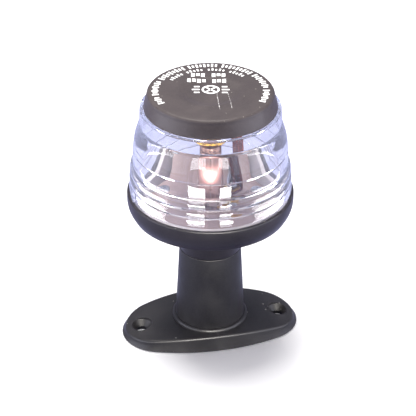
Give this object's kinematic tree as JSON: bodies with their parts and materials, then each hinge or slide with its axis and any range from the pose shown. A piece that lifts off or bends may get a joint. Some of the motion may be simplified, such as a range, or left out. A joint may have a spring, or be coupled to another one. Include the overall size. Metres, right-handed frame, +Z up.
{
  "type": "navigation light",
  "caption": "All-round boat navigation light: a clear ribbed bayonet lens under a black cap, on a dish head and a short tapered pedestal with an oval screw-down plate.",
  "frame": {"origin": "centre of the mounting plate's underside, where it meets the deck", "axes": "+Z up along the axis of the light; X along the plate's long axis, through the two mounting screw holes"},
  "size_m": [0.0736, 0.0666, 0.11],
  "materials": {
    "pedestal_plastic": "satin moulded black plastic",
    "head_plastic": "satin moulded black plastic",
    "seal_rubber": "matt black rubber",
    "screw_steel": "bright stainless steel",
    "lens_clear": "clear polished moulded plastic",
    "cap_plastic": "satin moulded black plastic with white print",
    "holder_plastic": "brown moulded phenolic",
    "contact_brass": "rolled brass strip",
    "bulb_clear": "clear tubular glass",
    "bulb_metal": "plated end caps",
    "filament_metal": "coiled tungsten",
    "lead_metal": "plain drawn wire"
  },
  "bodies": {
    "base": {"pedestal": "pedestal_plastic", "head_base": "head_plastic", "neck_seal": "seal_rubber", "neck_screw": "screw_steel", "cable_grommet": "seal_rubber", "lamp_holder": "holder_plastic", "holder_screws": "screw_steel", "lower_contact": "contact_brass", "contact_riser": "contact_brass", "terminal_clamps": "contact_brass", "terminal_screws": "screw_steel"},
    "seal": {"lens_seal": "seal_rubber"},
    "lens_unit": {"lens": "lens_clear", "cap": "cap_plastic"},
    "contact_arm": {"upper_contact": "contact_brass"},
    "bulb": {"bulb_glass": "bulb_clear", "bulb_lower_cap": "bulb_metal", "bulb_upper_cap": "bulb_metal", "bulb_filament": "filament_metal", "bulb_leads": "lead_metal"}
  },
  "joints": [
    {"name": "lens_turn", "type": "hinge", "parent": "base", "child": "seal", "pos_m": [0, 0, 0.0597], "axis": [0, 0, -1], "range_deg": [0, 25]},
    {"name": "lens_lift", "type": "slide", "parent": "seal", "child": "lens_unit", "axis": [0, 0, 1], "range_m": [0, 0.06]},
    {"name": "contact_flex", "type": "hinge", "parent": "base", "child": "contact_arm", "pos_m": [0.01271, 0.00676, 0.09], "axis": [-0.4695, 0.8829, 0], "range_deg": [0, 8], "stiffness_Nm_per_rad": 1, "springref_deg": -1.15},
    {"name": "bulb_tip", "type": "hinge", "parent": "base", "child": "bulb", "pos_m": [0, 0, 0.0488], "axis": [0.4695, -0.8829, 0], "range_deg": [0, 10]}
  ]
}
